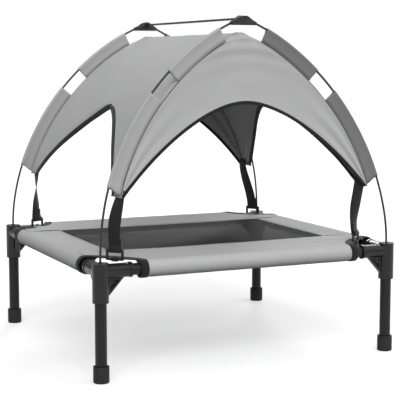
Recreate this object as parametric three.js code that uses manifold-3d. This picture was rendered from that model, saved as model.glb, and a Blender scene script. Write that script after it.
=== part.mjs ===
// Raised dog bed with a lift-off canopy.
// A tube frame on four legs carries a cloth mat with a mesh middle. Two bent poles stand in the
// tops of the corner fittings, meet in hubs, and carry a cloth canopy open on all four sides.
// Millimetres. +Z is up, +X runs along the front, +Y runs to the back, origin on the floor
// under the middle of the bed.

import * as THREE from 'three';
import { mergeVertices } from 'three/addons/utils/BufferGeometryUtils.js';
import Module from 'manifold-3d';

const wasm = await Module();
wasm.setup();

// ---------------------------------------------------------------- driving dimensions

const GAP = 0.3;                  // air between pieces that touch
const ROUND = 16;                 // sides of a round tube
const SMALL_ROUND = 10;           // sides of a thin rod or its hole
const ARC = 4;                    // steps in each half turn of a small round

// legs and corners
const LEG_X = 290.5;              // leg axes from the middle, along the front
const LEG_Y = 271.5;              // leg axes from the middle, front to back
const TUBE_R = 10.5;              // legs and rails
const TUBE_WALL = 1.2;
const TUBE_BORE_R = 10.95;        // sockets that take a tube
const FOOT_R = 14.25;
const FOOT_HEIGHT = 29.5;
const FOOT_FLOOR = 4;
const FOOT_CHAMFER = 1.5;
const SOCKET_R = 14.5;
const SOCKET_BOTTOM = 141.2;
const SOCKET_TOP = 210.2;
const SOCKET_CHAMFER = 1.2;
const LEG_BORE_TOP = 178;
const RAIL_Z = 196;
const RAIL_STOP = 18;             // a rail ends this far from the leg axis
const ARM_R = 12.6;
const ARM_END = 57;
const BEAD_R = 13.6;              // raised ring at the mouth of each arm
const BEAD_WIDTH = 4.5;
const GUSSET_REACH = 43.5;
const GUSSET_BOTTOM = 153;
const GUSSET_THICK = 7;
const GUSSET_RIM = 3;
const GUSSET_SINK = 1.8;          // depth of the sunk face on each side of a gusset
const GUSSET_ROOT = 2;            // how far a gusset runs into its socket and arm

// mat
const SLEEVE_R = 15.5;            // cloth sleeve round a rail
const SLEEVE_BORE_R = 11.4;
const CLOTH = 2;                  // thickness of the mat's cloth and mesh
const MAT_TOP = RAIL_Z + SLEEVE_R;
const MESH_X = 227;               // half size of the mesh middle
const MESH_Y = 149;
const CORNER_CUT_R = 72.5;        // round cut at each mat corner, about the leg axis
const TAPE_WIDTH = 13;            // dark tape along that cut

// buckles and their loops
const BUCKLE_OFFSET = 37.5;       // from the leg axis, both ways
const BUCKLE_BOTTOM = 207;
const BUCKLE_WIDTH = 34;
const BUCKLE_HEIGHT = 20;
const BUCKLE_BAR = 4.5;
const BUCKLE_THICK = 3.4;
const LOOP_WIDTH = 12;
const LOOP_WALL = 1.2;
const WRAP_SLACK = 0.5;           // air between a buckle bar and the webbing round it

// arches: a half pole in front view runs from its hub down to the corner fitting
const HUB_EXIT = [22, 625];
const ARCH_SHOULDER = [168, 560];
const ARCH_FLANK = [LEG_X, 397];
const POLE_R = 2;
const POLE_HOLE_R = 2.9;
const POLE_HOLE_DEPTH = 28;
const ARCH_IN = 36.5;             // how far the arch tops lean in over the bed
const ARCH_TOP = 633;
const POLE_BEND = 60;             // height over which a pole turns from upright to leaning
const POLE_STEPS = 22;
const POLE_IN_HUB = 0.05;         // share of a pole's sweep spent inside its hub
const POLE_IN_SOCKET = 0.1;       // and inside its corner socket
const HUB_HALF_WIDTH = 24.5;
const HUB_EDGE = HUB_HALF_WIDTH + 6;   // past the mouth of a hub's pole holes
const HUB_BOTTOM = 621;
const HUB_TOP = 638;
const HUB_PEAK = 7;
const HUB_THICK = 15;
const HUB_SKIRT = 5;              // height of a hub's nearly upright ends
const HUB_DRAFT = 2;              // how far those ends slope in
const HUB_CREST = 3;              // half width of the flat on top
const POLE_TIP_X = 9;             // pole ends inside a hub
const ROD_Z = 632.5;
const ROD_R = 2.1;
const ROD_BOSS_R = 4.6;
const ROD_BOSS = 5;
const ROD_INSERT = 8;
const ROD_CLEARANCE = 0.6;

// canopy cloth
const SLEEVE_WIDTH = 24;          // from the pole in to the seam
const FABRIC = 1.6;
const CHANNEL_IN_R = 2.9;         // cloth channel round a pole
const CHANNEL_OUT_R = 3.8;
const TRIM_WIDTH = 5;
const TRIM_THICK = 2.4;
const SLEEVE_SPANS = { upper: [0.058, 0.313], lower: [0.414, 0.762] };
const SEAM_STEPS = 14;
const SLEEVE_STEPS = 7;
const FRONT_ENTRY = { apex: 480, hip: [170, 410], shoulder: 70, foot: [245, 320] };
const SIDE_ENTRY = { apex: 473, hip: [150, 405], shoulder: 50, foot: [228, 326] };
const ENTRY_STEPS = 12;
const ROOF_EDGE = 1.2;            // roof cloth ends this far inside the middle of an arch

// webbing straps
const STRAP_WIDTH = 23.4;
const STRAP_THICK = 1.6;
const STRAP_TOP = [247, 246, 318];

const CORNERS = [
  { tag: 'fl', sx: -1, sy: -1, turn: 0 },
  { tag: 'fr', sx: 1, sy: -1, turn: 90 },
  { tag: 'br', sx: 1, sy: 1, turn: 180 },
  { tag: 'bl', sx: -1, sy: 1, turn: 270 },
];

// ---------------------------------------------------------------- materials

const MATERIALS = {
  frame: { color: 0x303133, roughness: 0.45, metalness: 0.3 },
  plastic: { color: 0x2b2c2e, roughness: 0.55, metalness: 0 },
  rubber: { color: 0x26272a, roughness: 0.75, metalness: 0 },
  pole: { color: 0x1d1e20, roughness: 0.4, metalness: 0 },
  cloth: { color: 0xb4b4b4, roughness: 0.9, metalness: 0 },
  mesh: { color: 0x4c4c4e, roughness: 0.85, metalness: 0 },
  tape: { color: 0x1b1b1d, roughness: 0.9, metalness: 0 },
};

const bed = new THREE.Group();

function addMesh(parent, name, geometry, look) {
  const mesh = new THREE.Mesh(geometry, new THREE.MeshStandardMaterial(MATERIALS[look]));
  mesh.name = name;
  parent.add(mesh);
  return mesh;
}

// ---------------------------------------------------------------- solid helpers

const rad = THREE.MathUtils.degToRad;

function toSolid(geometry) {
  const bare = geometry.clone();
  bare.deleteAttribute('normal');
  bare.deleteAttribute('uv');
  const merged = mergeVertices(bare, 1e-4);
  return new wasm.Manifold(new wasm.Mesh({
    numProp: 3,
    vertProperties: new Float32Array(merged.attributes.position.array),
    triVerts: new Uint32Array(merged.index.array),
  }));
}

function toGeometry(solid) {
  const mesh = solid.getMesh();
  const geometry = new THREE.BufferGeometry();
  geometry.setAttribute('position', new THREE.BufferAttribute(mesh.vertProperties, 3));
  geometry.setIndex(new THREE.BufferAttribute(mesh.triVerts, 1));
  return geometry;
}

function join(geometries) {
  return geometries.map(toSolid).reduce((whole, piece) => whole.add(piece));
}

function cut(solid, geometries) {
  return geometries.map(toSolid).reduce((left, tool) => left.subtract(tool), solid);
}

// a round bar from one point to another
function bar(from, to, radius, sides = ROUND) {
  const start = new THREE.Vector3(...from);
  const along = new THREE.Vector3(...to).sub(start);
  const geometry = new THREE.CylinderGeometry(radius, radius, along.length(), sides);
  geometry.translate(0, along.length() / 2, 0);
  const up = new THREE.Vector3(0, 1, 0);
  geometry.applyQuaternion(new THREE.Quaternion().setFromUnitVectors(up, along.normalize()));
  return geometry.translate(...from);
}

// a body of revolution about Z from [radius, height] points
function turned(profile) {
  const points = profile.map(([radius, height]) => new THREE.Vector2(radius, height));
  return new THREE.LatheGeometry(points, ROUND).rotateX(Math.PI / 2);
}

// a hollow round tube standing on Z
function pipe(outer, inner, bottom, top) {
  return turned([[inner, bottom], [outer, bottom], [outer, top], [inner, top], [inner, bottom]]);
}

function shapeOf(points) {
  return new THREE.Shape(points.map(([x, y]) => new THREE.Vector2(x, y)));
}

// a flat outline given in X and Y, thickened evenly about Z = 0
function slab(shape, thickness, arc = ARC) {
  const options = { depth: thickness, bevelEnabled: false, curveSegments: arc };
  return new THREE.ExtrudeGeometry(shape, options).translate(0, 0, -thickness / 2);
}

// turns a slab so that its outline lies in X and Z
function upright(geometry) {
  return geometry.rotateX(Math.PI / 2);
}

// turns a slab so that its outline lies in Y and Z
function endOn(geometry) {
  return geometry.rotateX(Math.PI / 2).rotateZ(Math.PI / 2);
}

// ---------------------------------------------------------------- frame

function footCap() {
  return turned([
    [0, 0],
    [FOOT_R - FOOT_CHAMFER, 0],
    [FOOT_R, FOOT_CHAMFER],
    [FOOT_R, FOOT_HEIGHT],
    [TUBE_BORE_R, FOOT_HEIGHT],
    [TUBE_BORE_R, FOOT_FLOOR],
    [0, FOOT_FLOOR],
  ]);
}

function legTube() {
  return pipe(TUBE_R, TUBE_R - TUBE_WALL, FOOT_FLOOR + GAP, LEG_BORE_TOP - GAP);
}

// a triangular web under one arm, sunk inside its rim, in X and Z
function gussetPieces() {
  const inner = SOCKET_R - GUSSET_ROOT;
  const top = RAIL_Z - ARM_R + GUSSET_ROOT;
  const plate = [[inner, top], [inner, GUSSET_BOTTOM], [SOCKET_R, GUSSET_BOTTOM], [GUSSET_REACH, top]];
  const middle = [
    [SOCKET_R + GUSSET_RIM, RAIL_Z - ARM_R - GUSSET_RIM],
    [SOCKET_R + GUSSET_RIM, GUSSET_BOTTOM + 3 * GUSSET_RIM],
    [GUSSET_REACH - 3 * GUSSET_RIM, RAIL_Z - ARM_R - GUSSET_RIM],
  ];
  const sunk = [-1, 1].map((side) => {
    const tool = upright(slab(shapeOf(middle), 2 * GUSSET_SINK));
    return tool.translate(0, side * GUSSET_THICK / 2, 0);
  });
  return { plate: upright(slab(shapeOf(plate), GUSSET_THICK)), sunk };
}

// a corner with its arms along +X and +Y, about the leg axis
function cornerFitting() {
  const socket = turned([
    [0, SOCKET_BOTTOM],
    [SOCKET_R - SOCKET_CHAMFER, SOCKET_BOTTOM],
    [SOCKET_R, SOCKET_BOTTOM + SOCKET_CHAMFER],
    [SOCKET_R, SOCKET_TOP],
    [0, SOCKET_TOP],
  ]);
  const solids = [socket];
  const holes = [
    bar([0, 0, SOCKET_BOTTOM - 1], [0, 0, LEG_BORE_TOP], TUBE_BORE_R),
    bar([0, 0, SOCKET_TOP - POLE_HOLE_DEPTH], [0, 0, SOCKET_TOP + 1], POLE_HOLE_R, SMALL_ROUND),
  ];
  for (const turn of [0, 90]) {
    const gusset = gussetPieces();
    const added = [
      bar([0, 0, RAIL_Z], [ARM_END, 0, RAIL_Z], ARM_R),
      bar([ARM_END - BEAD_WIDTH, 0, RAIL_Z], [ARM_END, 0, RAIL_Z], BEAD_R),
      gusset.plate,
    ];
    const removed = [
      bar([RAIL_STOP - GAP, 0, RAIL_Z], [ARM_END + 1, 0, RAIL_Z], TUBE_BORE_R),
      ...gusset.sunk,
    ];
    solids.push(...added.map((piece) => piece.rotateZ(rad(turn))));
    holes.push(...removed.map((piece) => piece.rotateZ(rad(turn))));
  }
  return toGeometry(cut(join(solids), holes));
}

// a rail lying along X
function railTube(legDistance) {
  const half = legDistance - RAIL_STOP;
  return pipe(TUBE_R, TUBE_R - TUBE_WALL, -half, half).rotateY(Math.PI / 2);
}

// ---------------------------------------------------------------- mat

// dark tape round two sleeve ends and along the round cut between them, about the leg axis
function cornerTape() {
  const outer = CORNER_CUT_R + TAPE_WIDTH;
  const arc = new THREE.Shape();
  arc.absarc(0, 0, outer, 0, Math.PI / 2, false);
  arc.absarc(0, 0, CORNER_CUT_R, Math.PI / 2, 0, true);
  const band = slab(arc, CLOTH, 2 * ARC).translate(0, 0, MAT_TOP - CLOTH / 2);
  const ringX = pipe(SLEEVE_R, SLEEVE_BORE_R, CORNER_CUT_R, outer).rotateY(Math.PI / 2);
  const ringY = ringX.clone().rotateZ(Math.PI / 2);
  ringX.translate(0, 0, RAIL_Z);
  ringY.translate(0, 0, RAIL_Z);
  return toGeometry(join([band, ringX, ringY]));
}

// one side of the mat lying along X, its rail at Y = -railOut, its inner edge at Y = -edge
function matSide(railOut, edge, sleeveHalf, plateHalf, cutAway) {
  const sleeve = pipe(SLEEVE_R, SLEEVE_BORE_R, -sleeveHalf, sleeveHalf).rotateY(Math.PI / 2);
  sleeve.translate(0, -railOut, RAIL_Z);
  const plate = new THREE.BoxGeometry(2 * plateHalf, railOut - edge, CLOTH);
  plate.translate(0, -(railOut + edge) / 2, MAT_TOP - CLOTH / 2);
  const corners = cutAway.map(([x, y]) => {
    const radius = CORNER_CUT_R + TAPE_WIDTH + 3 * GAP;
    return bar([x, y, MAT_TOP - 2 * CLOTH], [x, y, MAT_TOP + CLOTH], radius, 3 * ROUND);
  });
  return toGeometry(join([sleeve, toGeometry(cut(toSolid(plate), corners))]));
}

function matPieces() {
  const tapeEnd = CORNER_CUT_R + TAPE_WIDTH + GAP;
  const beside = LEG_X - SLEEVE_R / 2;   // stops short of the crown of the side sleeves
  const longCuts = [[-LEG_X, -LEG_Y], [LEG_X, -LEG_Y]];
  for (const [tag, turn] of [['front', 0], ['back', 180]]) {
    const panel = matSide(LEG_Y, MESH_Y + GAP, LEG_X - tapeEnd, beside, longCuts);
    addMesh(bed, `mat_${tag}_panel`, panel, 'cloth').rotation.z = rad(turn);
  }
  for (const [tag, turn] of [['left', 270], ['right', 90]]) {
    const panel = matSide(LEG_X, MESH_X + GAP, LEG_Y - tapeEnd, MESH_Y - GAP / 2, []);
    addMesh(bed, `mat_${tag}_panel`, panel, 'cloth').rotation.z = rad(turn);
  }
  const mesh = new THREE.BoxGeometry(2 * MESH_X, 2 * MESH_Y, CLOTH);
  mesh.translate(0, 0, MAT_TOP - CLOTH / 2);
  addMesh(bed, 'mat_mesh', mesh, 'mesh');
}

// ---------------------------------------------------------------- buckles and loops

// webbing that wraps a bar and runs away from it, in side view: the bar is at 0, 0
function wrapOutline(boreR, wall, tail) {
  const outer = boreR + wall;
  const half = Math.asin(wall / outer);
  const outline = new THREE.Shape();
  outline.absarc(0, 0, outer, half, 2 * Math.PI - half, false);
  outline.lineTo(tail, -wall);
  outline.lineTo(tail, wall);
  const hole = new THREE.Path();
  hole.absarc(0, 0, boreR, 0, 2 * Math.PI, true);
  outline.holes.push(hole);
  return outline;
}

const BAR_BORE_R = Math.hypot(BUCKLE_BAR, BUCKLE_THICK) / 2 + WRAP_SLACK;

// a rectangular ring with its width along X and its height along Z, standing on Z = 0
function buckleRing() {
  const half = BUCKLE_WIDTH / 2;
  const outline = shapeOf([[-half, 0], [half, 0], [half, BUCKLE_HEIGHT], [-half, BUCKLE_HEIGHT]]);
  const inside = half - BUCKLE_BAR;
  const low = BUCKLE_BAR;
  const high = BUCKLE_HEIGHT - BUCKLE_BAR;
  outline.holes.push(shapeOf([[-inside, low], [-inside, high], [inside, high], [inside, low]]));
  return upright(slab(outline, BUCKLE_THICK));
}

// webbing from the corner tape round the lower bar of the buckle
function strapLoop() {
  const diagonal = BUCKLE_OFFSET * Math.SQRT2;
  const tail = CORNER_CUT_R - GAP - diagonal;
  const loop = slab(wrapOutline(BAR_BORE_R, LOOP_WALL, tail), LOOP_WIDTH);
  return upright(loop);
}

// ---------------------------------------------------------------- one corner of the bed

function cornerPieces({ tag, sx, sy, turn }) {
  const corner = new THREE.Group();
  corner.position.set(sx * LEG_X, sy * LEG_Y, 0);
  corner.rotation.z = rad(turn);
  bed.add(corner);
  addMesh(corner, `foot_cap_${tag}`, footCap(), 'rubber');
  addMesh(corner, `leg_tube_${tag}`, legTube(), 'frame');
  addMesh(corner, `corner_fitting_${tag}`, cornerFitting(), 'plastic');
  addMesh(corner, `mat_corner_tape_${tag}`, cornerTape(), 'tape');

  // local X of this group points from the leg to the middle of the corner cut
  const diagonal = new THREE.Group();
  diagonal.rotation.z = rad(45);
  diagonal.position.set(BUCKLE_OFFSET, BUCKLE_OFFSET, BUCKLE_BOTTOM);
  corner.add(diagonal);
  addMesh(diagonal, `buckle_${tag}`, buckleRing().rotateZ(Math.PI / 2), 'plastic');
  const loop = strapLoop().translate(0, 0, BUCKLE_BAR / 2);
  addMesh(diagonal, `mat_strap_loop_${tag}`, loop, 'tape');
}

function rails() {
  for (const [tag, y] of [['front', -LEG_Y], ['back', LEG_Y]]) {
    addMesh(bed, `rail_${tag}`, railTube(LEG_X), 'frame').position.set(0, y, RAIL_Z);
  }
  for (const [tag, x] of [['left', -LEG_X], ['right', LEG_X]]) {
    const rail = addMesh(bed, `rail_${tag}`, railTube(LEG_Y), 'frame');
    rail.position.set(x, 0, RAIL_Z);
    rail.rotation.z = Math.PI / 2;
  }
}

// ---------------------------------------------------------------- arch geometry

// half pole in front view, from the hub at t = 0 to the corner fitting at t = 1
const halfArch = new THREE.CubicBezierCurve(
  new THREE.Vector2(...HUB_EXIT),
  new THREE.Vector2(...ARCH_SHOULDER),
  new THREE.Vector2(...ARCH_FLANK),
  new THREE.Vector2(LEG_X, SOCKET_TOP),
);

// an arch lies in a plane that leans inwards about a line at this height
const ARCH_PLANE_Z = SOCKET_TOP + POLE_BEND / 2;
const LEAN = Math.atan(ARCH_IN / (ARCH_TOP - ARCH_PLANE_Z));
const planeHeight = (z) => (z - ARCH_PLANE_Z) / Math.cos(LEAN);
const toPlane = ([x, z]) => [x, planeHeight(z)];

// distance of the arch from the middle of the bed, front to back, at a height
function archY(z) {
  const rise = z - SOCKET_TOP;
  if (rise <= 0) return LEG_Y;
  if (rise < POLE_BEND) return LEG_Y - Math.tan(LEAN) * rise * rise / (2 * POLE_BEND);
  return LEG_Y - Math.tan(LEAN) * (z - ARCH_PLANE_Z);
}

// point of the half arch moved towards the inside of the bend
function insideArch(t, distance) {
  const point = halfArch.getPoint(t);
  const tangent = halfArch.getTangent(t);
  return [point.x + distance * tangent.y, point.y - distance * tangent.x];
}

// the cloth's seam line in front view, left foot to right foot, rounded over the crown
function seamLine(distance) {
  const last = SLEEVE_SPANS.lower[1];
  const right = [];
  for (let i = 0; i <= SEAM_STEPS; i += 1) {
    right.push(insideArch(last * i / SEAM_STEPS, distance));
  }
  const [x, z] = right[0];
  const tangent = halfArch.getTangent(0);
  const crown = new THREE.QuadraticBezierCurve(
    new THREE.Vector2(-x, z),
    new THREE.Vector2(0, z - x * tangent.y / tangent.x),
    new THREE.Vector2(x, z),
  );
  const over = crown.getPoints(4).slice(1, -1).map((point) => [point.x, point.y]);
  const left = right.map(([px, pz]) => [-px, pz]).reverse();
  return [...left, ...over, ...right];
}

// the edge of an entry in its own view, left foot over the apex to right foot
function entryLine({ apex, hip, shoulder, foot }, distance) {
  const half = new THREE.CubicBezierCurve(
    new THREE.Vector2(0, apex),
    new THREE.Vector2(shoulder, apex),
    new THREE.Vector2(...hip),
    new THREE.Vector2(...foot),
  );
  const right = [];
  for (let i = 0; i <= ENTRY_STEPS; i += 1) {
    const point = half.getPoint(i / ENTRY_STEPS);
    const tangent = half.getTangent(i / ENTRY_STEPS);
    right.push([point.x - distance * tangent.y, point.y + distance * tangent.x]);
  }
  const left = right.slice(1).map(([x, z]) => [-x, z]).reverse();
  return [...left, ...right];
}

// one pole half: upright in its socket, leaning above it, straight into the hub
class PoleCurve extends THREE.Curve {
  constructor(sx, sy) {
    super();
    this.sx = sx;
    this.sy = sy;
  }

  getPoint(u, target = new THREE.Vector3()) {
    const start = halfArch.getPoint(0);
    const tangent = halfArch.getTangent(0);
    let x;
    let z;
    if (u < POLE_IN_HUB) {
      const left = 1 - u / POLE_IN_HUB;
      x = start.x - left * (start.x - POLE_TIP_X);
      z = start.y - left * (start.x - POLE_TIP_X) * tangent.y / tangent.x;
    } else if (u > 1 - POLE_IN_SOCKET) {
      const down = (u - 1 + POLE_IN_SOCKET) / POLE_IN_SOCKET;
      x = LEG_X;
      z = SOCKET_TOP - down * (POLE_HOLE_DEPTH - GAP);
    } else {
      const point = halfArch.getPoint((u - POLE_IN_HUB) / (1 - POLE_IN_HUB - POLE_IN_SOCKET));
      x = point.x;
      z = point.y;
    }
    return target.set(this.sx * x, this.sy * archY(z), z);
  }
}

// a stretch of the half arch in the arch plane, always drawn with the outside on its left
class ArchSpan extends THREE.Curve {
  constructor(side, [from, to]) {
    super();
    this.side = side;
    this.from = from;
    this.to = to;
  }

  getPoint(u, target = new THREE.Vector3()) {
    const along = this.side > 0 ? u : 1 - u;
    const point = halfArch.getPoint(this.from + (this.to - this.from) * along);
    return target.set(this.side * point.x, planeHeight(point.y), 0);
  }
}

// ---------------------------------------------------------------- canopy pieces

function poleHalf({ sx, sy }) {
  const section = new THREE.Shape().absarc(0, 0, POLE_R, 0, 2 * Math.PI, false);
  const options = {
    steps: POLE_STEPS,
    curveSegments: ARC,
    bevelEnabled: false,
    extrudePath: new PoleCurve(sx, sy),
  };
  return new THREE.ExtrudeGeometry(section, options);
}

// a cloth sleeve: a channel round the pole with a flat tail in to the seam
function poleSleeve(side, span) {
  const half = Math.asin(FABRIC / 2 / CHANNEL_OUT_R);
  const down = 1.5 * Math.PI;
  const section = new THREE.Shape();
  section.absarc(0, 0, CHANNEL_OUT_R, down + half, down + 2 * Math.PI - half, false);
  section.lineTo(-FABRIC / 2, GAP - SLEEVE_WIDTH);
  section.lineTo(FABRIC / 2, GAP - SLEEVE_WIDTH);
  const channel = new THREE.Path();
  channel.absarc(0, 0, CHANNEL_IN_R, 0, 2 * Math.PI, true);
  section.holes.push(channel);
  const options = {
    steps: SLEEVE_STEPS,
    curveSegments: ARC,
    bevelEnabled: false,
    extrudePath: new ArchSpan(side, span),
  };
  return new THREE.ExtrudeGeometry(section, options);
}

// the hub in its arch plane, bored for two poles and for the ridge rod on its inner side
function hub(inward) {
  const right = [
    [HUB_HALF_WIDTH, HUB_BOTTOM],
    [HUB_HALF_WIDTH - HUB_DRAFT, HUB_BOTTOM + HUB_SKIRT],
    [HUB_PEAK, HUB_TOP - 1],
    [HUB_CREST, HUB_TOP],
  ];
  const left = right.map(([x, z]) => [-x, z]).reverse();
  const outline = shapeOf([...right, ...left].map(toPlane));
  const rodAt = (depth) => [
    0,
    planeHeight(ROD_Z) + depth * Math.sin(LEAN),
    inward * depth * Math.cos(LEAN),
  ];
  const boss = bar(rodAt(0), rodAt(HUB_THICK / 2 + ROD_BOSS), ROD_BOSS_R, SMALL_ROUND);
  const start = halfArch.getPoint(0);
  const tangent = halfArch.getTangent(0);
  const boreAt = (side, x) => {
    const z = start.y + (x - start.x) * tangent.y / tangent.x;
    return [side * x, planeHeight(z), 0];
  };
  const holes = [-1, 1].map((side) => {
    return bar(boreAt(side, POLE_TIP_X - 1), boreAt(side, HUB_EDGE), POLE_HOLE_R, SMALL_ROUND);
  });
  const rodStart = HUB_THICK / 2 + ROD_BOSS - ROD_INSERT;
  holes.push(bar(rodAt(rodStart - 1), rodAt(HUB_THICK), ROD_R + ROD_CLEARANCE, SMALL_ROUND));
  return toGeometry(cut(join([slab(outline, HUB_THICK), boss]), holes));
}

function ridgeRod() {
  const inFace = archY(ROD_Z) - HUB_THICK / 2 - ROD_BOSS + ROD_INSERT;
  return bar([0, -inFace, ROD_Z], [0, inFace, ROD_Z], ROD_R, SMALL_ROUND);
}

// the cloth of a front or back face, between its seam and its entry
function endPanel() {
  const entry = entryLine(FRONT_ENTRY, TRIM_WIDTH + GAP).reverse();
  return slab(shapeOf([...seamLine(SLEEVE_WIDTH), ...entry].map(toPlane)), FABRIC);
}

// folded tape along an entry edge
function entryBand(entry) {
  return [...entryLine(entry, TRIM_WIDTH), ...entryLine(entry, 0).reverse()];
}

function archPieces(tag, sy) {
  const arch = new THREE.Group();
  arch.position.set(0, sy * LEG_Y, ARCH_PLANE_Z);
  arch.rotation.x = Math.PI / 2 + sy * LEAN;
  bed.add(arch);
  addMesh(arch, `hub_${tag}`, hub(sy), 'plastic');
  addMesh(arch, `canopy_${tag}_panel`, endPanel(), 'cloth');
  const trim = slab(shapeOf(entryBand(FRONT_ENTRY).map(toPlane)), TRIM_THICK);
  addMesh(arch, `canopy_${tag}_trim`, trim, 'tape');
  for (const [hand, side] of [['l', -1], ['r', 1]]) {
    for (const [level, span] of Object.entries(SLEEVE_SPANS)) {
      const name = `pole_sleeve_${tag[0]}${hand}_${level}`;
      addMesh(arch, name, poleSleeve(side, span), 'cloth');
    }
  }
}

// an arched sheet between the two seams, as thick as the distances say, open at both ends
function vault(outside, inside) {
  const outline = shapeOf([...seamLine(outside), ...seamLine(inside).reverse()]);
  return toSolid(upright(slab(outline, 2 * LEG_Y)));
}

// everything outside the arch plane at one end, less a margin for the panel's own thickness
function beyondArch(sy) {
  const size = 4 * LEG_X;
  const block = new THREE.BoxGeometry(size, size, size);
  block.translate(0, 0, -sy * (size / 2 - ROOF_EDGE));
  return block.rotateX(Math.PI / 2 + sy * LEAN).translate(0, sy * LEG_Y, ARCH_PLANE_Z);
}

// the roof cloth: an arched sheet, cut away under the line of the side entries
function roof() {
  const footZ = SIDE_ENTRY.foot[1];
  const edge = entryLine(SIDE_ENTRY, TRIM_WIDTH + GAP);
  const below = [[-LEG_Y, footZ], ...edge, [LEG_Y, footZ], [LEG_Y, RAIL_Z], [-LEG_Y, RAIL_Z]];
  const entries = endOn(slab(shapeOf(below), 2 * LEG_X));
  return toGeometry(cut(vault(SLEEVE_WIDTH, SLEEVE_WIDTH + FABRIC), [
    beyondArch(-1),
    beyondArch(1),
    entries,
  ]));
}

function sideTrim(sx) {
  const extra = (TRIM_THICK - FABRIC) / 2;
  const band = endOn(slab(shapeOf(entryBand(SIDE_ENTRY)), LEG_X));
  band.translate(sx * LEG_X / 2, 0, 0);
  const sheet = vault(SLEEVE_WIDTH - extra, SLEEVE_WIDTH + FABRIC + extra);
  return toGeometry(sheet.intersect(toSolid(band)));
}

// webbing from a canopy corner, wrapped round the upper bar of its buckle
function strap({ sx, sy }) {
  const barCentre = new THREE.Vector3(
    sx * (LEG_X - BUCKLE_OFFSET),
    sy * (LEG_Y - BUCKLE_OFFSET),
    BUCKLE_BOTTOM + BUCKLE_HEIGHT - BUCKLE_BAR / 2,
  );
  const top = new THREE.Vector3(sx * STRAP_TOP[0], sy * STRAP_TOP[1], STRAP_TOP[2]);
  const across = new THREE.Vector3(-sy, sx, 0).normalize();
  const rise = top.clone().sub(barCentre).normalize();
  const out = new THREE.Vector3().crossVectors(across, rise).normalize();
  const tail = 3 * BAR_BORE_R;       // the doubled end of the webbing, above the bar
  const wrap = slab(wrapOutline(BAR_BORE_R, STRAP_THICK / 2, tail), STRAP_WIDTH);
  wrap.applyMatrix4(new THREE.Matrix4().makeBasis(rise, out, across));
  wrap.translate(...barCentre);
  const length = top.distanceTo(barCentre) - 2 * BAR_BORE_R;
  const ribbon = new THREE.BoxGeometry(STRAP_WIDTH, STRAP_THICK, length);
  ribbon.translate(0, 0, 2 * BAR_BORE_R + length / 2);
  ribbon.applyMatrix4(new THREE.Matrix4().makeBasis(
    new THREE.Vector3().crossVectors(out, rise),
    out,
    rise,
  ));
  ribbon.translate(...barCentre);
  return toGeometry(join([wrap, ribbon]));
}

function canopyPieces() {
  archPieces('front', -1);
  archPieces('back', 1);
  for (const corner of CORNERS) {
    addMesh(bed, `pole_${corner.tag}`, poleHalf(corner), 'pole');
    addMesh(bed, `strap_${corner.tag}`, strap(corner), 'tape');
  }
  addMesh(bed, 'ridge_rod', ridgeRod(), 'pole');
  addMesh(bed, 'canopy_roof', roof(), 'cloth');
  addMesh(bed, 'canopy_left_trim', sideTrim(-1), 'tape');
  addMesh(bed, 'canopy_right_trim', sideTrim(1), 'tape');
}

// ---------------------------------------------------------------- assembly

CORNERS.forEach(cornerPieces);
rails();
matPieces();
canopyPieces();

export default bed;
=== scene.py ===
"""Looks of a raised dog bed with a lift-off canopy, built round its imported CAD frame.

Metres. +Z is up, +X runs along the front, +Y runs to the back, origin on the floor under the
middle of the bed. Small sizes are written in millimetres, times MM.
"""

import math

import bmesh
import bpy
import numpy as np
from mathutils import Matrix, Vector, noise


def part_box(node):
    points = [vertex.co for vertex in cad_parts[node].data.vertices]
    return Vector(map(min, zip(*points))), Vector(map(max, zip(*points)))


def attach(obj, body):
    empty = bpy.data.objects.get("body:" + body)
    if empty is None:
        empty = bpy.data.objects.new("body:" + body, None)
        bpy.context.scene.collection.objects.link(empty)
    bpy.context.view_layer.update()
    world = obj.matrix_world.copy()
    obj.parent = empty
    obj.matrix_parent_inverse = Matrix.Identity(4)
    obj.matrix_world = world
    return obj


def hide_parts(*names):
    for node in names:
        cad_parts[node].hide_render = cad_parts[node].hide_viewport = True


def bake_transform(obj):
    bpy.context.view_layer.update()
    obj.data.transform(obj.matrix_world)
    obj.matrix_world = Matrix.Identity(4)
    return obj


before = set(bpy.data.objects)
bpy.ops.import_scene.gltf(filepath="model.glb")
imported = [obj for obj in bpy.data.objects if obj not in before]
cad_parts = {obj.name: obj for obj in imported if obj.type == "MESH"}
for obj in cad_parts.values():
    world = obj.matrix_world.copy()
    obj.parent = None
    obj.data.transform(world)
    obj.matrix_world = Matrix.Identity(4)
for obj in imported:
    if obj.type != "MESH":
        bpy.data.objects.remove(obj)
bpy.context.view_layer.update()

# ---- sizes

MM = 0.001


def middle(node):
    low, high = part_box(node)
    return (low + high) / 2


def size(node):
    low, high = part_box(node)
    return high - low


# frame, read from the CAD model
LEG_X = middle("leg_tube_fr").x
LEG_Y = middle("leg_tube_br").y
TUBE_R = size("leg_tube_fr").x / 2
RAIL_Z = middle("rail_front").z
SOCKET_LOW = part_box("corner_fitting_fr")[0].z
SOCKET_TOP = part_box("corner_fitting_fr")[1].z
MAT_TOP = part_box("mat_mesh")[1].z
MESH_X = size("mat_mesh").x / 2
MESH_Y = size("mat_mesh").y / 2
FOOT_R = size("foot_cap_fr").x / 2
FOOT_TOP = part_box("foot_cap_fr")[1].z
BUCKLE = middle("buckle_fr")
BUCKLE_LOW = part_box("buckle_fr")[0].z
BUCKLE_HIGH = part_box("buckle_fr")[1].z

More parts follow.
